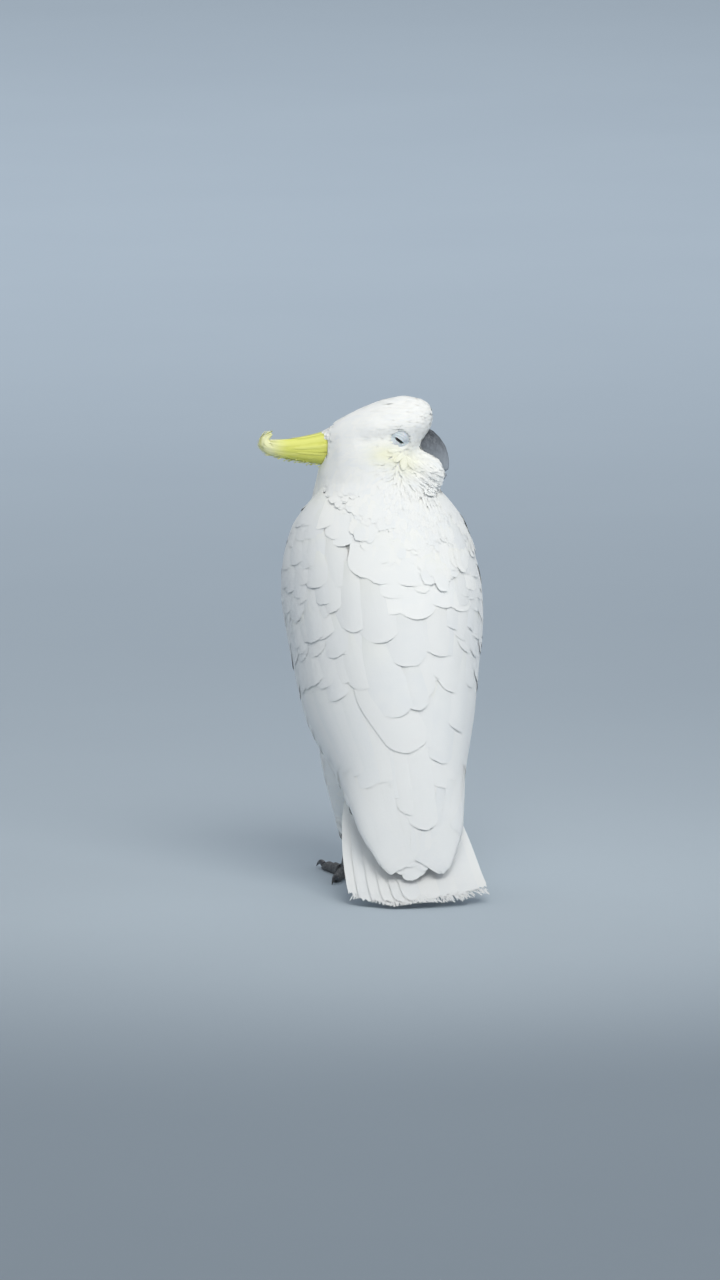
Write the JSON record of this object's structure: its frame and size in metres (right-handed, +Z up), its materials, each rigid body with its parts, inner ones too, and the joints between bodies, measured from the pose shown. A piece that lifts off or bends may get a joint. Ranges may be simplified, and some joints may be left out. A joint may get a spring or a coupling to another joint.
{
  "type": "sulphur-crested cockatoo",
  "caption": "Life-size white cockatoo with a folded yellow crest, resting on its feet with folded wings, head turned over one shoulder, tail end on the floor.",
  "frame": {"origin": "on the floor, under the middle of the bird's box", "axes": "+Z up, along the standing height; +Y the way the breast faces; +X the bird's right side"},
  "size_m": [0.1923, 0.264, 0.424],
  "materials": {
    "plumage": "soft matt white feathers",
    "crest_feathers": "soft matt lemon-yellow feathers",
    "bill_horn": "dusty slate-grey horn, satin",
    "claw_horn": "dark grey horn, satin",
    "foot_scale": "dry grey scaled skin",
    "eye": "wet dark brown",
    "lid_skin": "bare bluish-white skin, matt"
  },
  "bodies": {
    "root": {"trunk": "plumage", "neck": "plumage", "head": "plumage", "tail": "plumage", "crest": "crest_feathers", "bill_upper": "bill_horn", "bill_lower": "bill_horn", "eye_left": "eye", "eyelids_left": "lid_skin", "thigh_left": "plumage", "tarsus_left": "foot_scale", "wing_left_coverts": "plumage", "wing_left_secondaries": "plumage", "wing_left_primaries": "plumage", "toe_left_front_outer": "foot_scale", "claw_left_front_outer": "claw_horn", "toe_left_front_inner": "foot_scale", "claw_left_front_inner": "claw_horn", "toe_left_back_outer": "foot_scale", "claw_left_back_outer": "claw_horn", "toe_left_back_inner": "foot_scale", "claw_left_back_inner": "claw_horn", "eye_right": "eye", "eyelids_right": "lid_skin", "thigh_right": "plumage", "tarsus_right": "foot_scale", "wing_right_coverts": "plumage", "wing_right_secondaries": "plumage", "wing_right_primaries": "plumage", "toe_right_front_outer": "foot_scale", "claw_right_front_outer": "claw_horn", "toe_right_front_inner": "foot_scale", "claw_right_front_inner": "claw_horn", "toe_right_back_outer": "foot_scale", "claw_right_back_outer": "claw_horn", "toe_right_back_inner": "foot_scale", "claw_right_back_inner": "claw_horn"}
  },
  "joints": []
}
